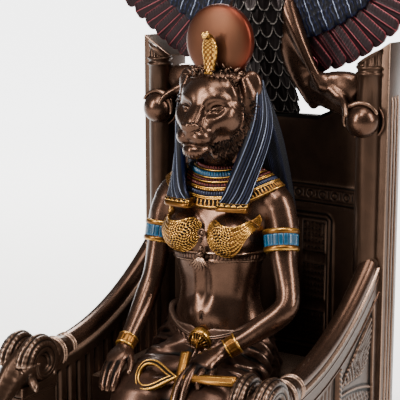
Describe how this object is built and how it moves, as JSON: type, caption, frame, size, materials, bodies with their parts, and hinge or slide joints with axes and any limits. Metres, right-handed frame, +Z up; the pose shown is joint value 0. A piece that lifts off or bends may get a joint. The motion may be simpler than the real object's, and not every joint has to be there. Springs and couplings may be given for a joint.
{
  "type": "seated lioness goddess statue",
  "caption": "Lioness-headed goddess seated on a throne with ram-headed arms, a sun disc on the head and a falcon spreading its wings over the back.",
  "frame": {"origin": "middle of the underside of the base", "axes": "+Z up, -Y the way the goddess faces, +X her left"},
  "size_m": [0.19, 0.1425, 0.285],
  "materials": {
    "dark_bronze": "bonded-bronze resin, dark brown, satin, near black in the recesses",
    "bronze": "bonded-bronze resin, brown, burnished to tan on the high places",
    "feather_paint": "bonded-bronze resin, dark brown, with dry-brushed navy and maroon feathers",
    "gold_paint": "antique gold paint rubbed over dark brown",
    "copper_paint": "satin copper paint, brushed, redder at the rim",
    "navy_paint": "dark navy paint with silver-grey ridges",
    "maroon_paint": "dark maroon paint with rose quills",
    "turquoise_paint": "turquoise paint, satin"
  },
  "bodies": {
    "root": {"throne": "dark_bronze", "goddess": "bronze", "falcon": "feather_paint"}
  },
  "joints": []
}
